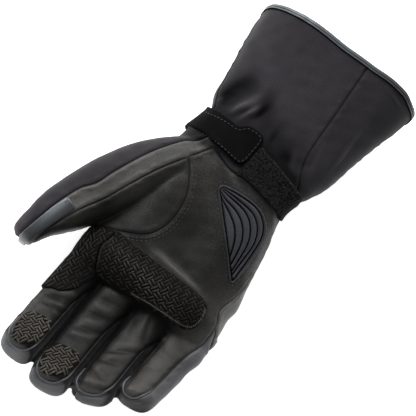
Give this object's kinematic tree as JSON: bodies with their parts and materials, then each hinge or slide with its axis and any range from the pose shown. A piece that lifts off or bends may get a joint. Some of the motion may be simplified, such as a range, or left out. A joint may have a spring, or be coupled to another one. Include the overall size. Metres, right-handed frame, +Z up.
{
  "type": "heated motorcycle glove",
  "caption": "Right-hand gauntlet glove with a leather palm, softshell cuff, wrist strap, grip patches and a thumb wiper, hollow for a hand.",
  "frame": {"origin": "centre of the flat back of the hand, on the surface that the glove lies on, below the heel of the palm", "axes": "+Z up, out of the palm; +Y from the hand to the cuff's opening, so the fingers point along -Y; +X to the little finger's side, the thumb on -X"},
  "size_m": [0.1659, 0.3287, 0.0816],
  "materials": {
    "softshell": "matt charcoal softshell with a fine weave",
    "leather": "black goat leather with a pebbled grain, half gloss",
    "side_leather": "dark grey pebbled leather, half gloss",
    "grip": "black cloth printed with short raised rubber bars",
    "insert": "grey ribbed cloth between sewn grooves",
    "binding": "grey-blue glossy piping and folded tape",
    "webbing": "black webbing with a stitched border",
    "loop": "black brushed loop pile",
    "wiper": "grey-blue smooth rubber blade"
  },
  "bodies": {
    "root": {"cuff_front_panel": "softshell", "cuff_gusset": "softshell", "cuff_back_panel": "softshell", "palm_and_fingers": "leather", "thenar_panel": "leather", "thumb_side_strip": "side_leather", "thumb_back_panel": "softshell", "hand_back_panel": "softshell", "hand_side_panel": "side_leather", "index_back": "softshell", "middle_back": "softshell", "ring_back": "softshell", "little_back": "softshell", "index_piping": "binding", "middle_piping": "binding", "ring_piping": "binding", "little_piping": "binding", "cuff_binding": "binding", "wrist_strap": "webbing", "strap_loop_patch": "loop", "knuckle_grip_patch": "grip", "index_grip_patch": "grip", "index_tip_grip": "grip", "middle_tip_grip": "grip", "heel_insert": "insert", "thumb_wiper": "wiper"}
  },
  "joints": []
}
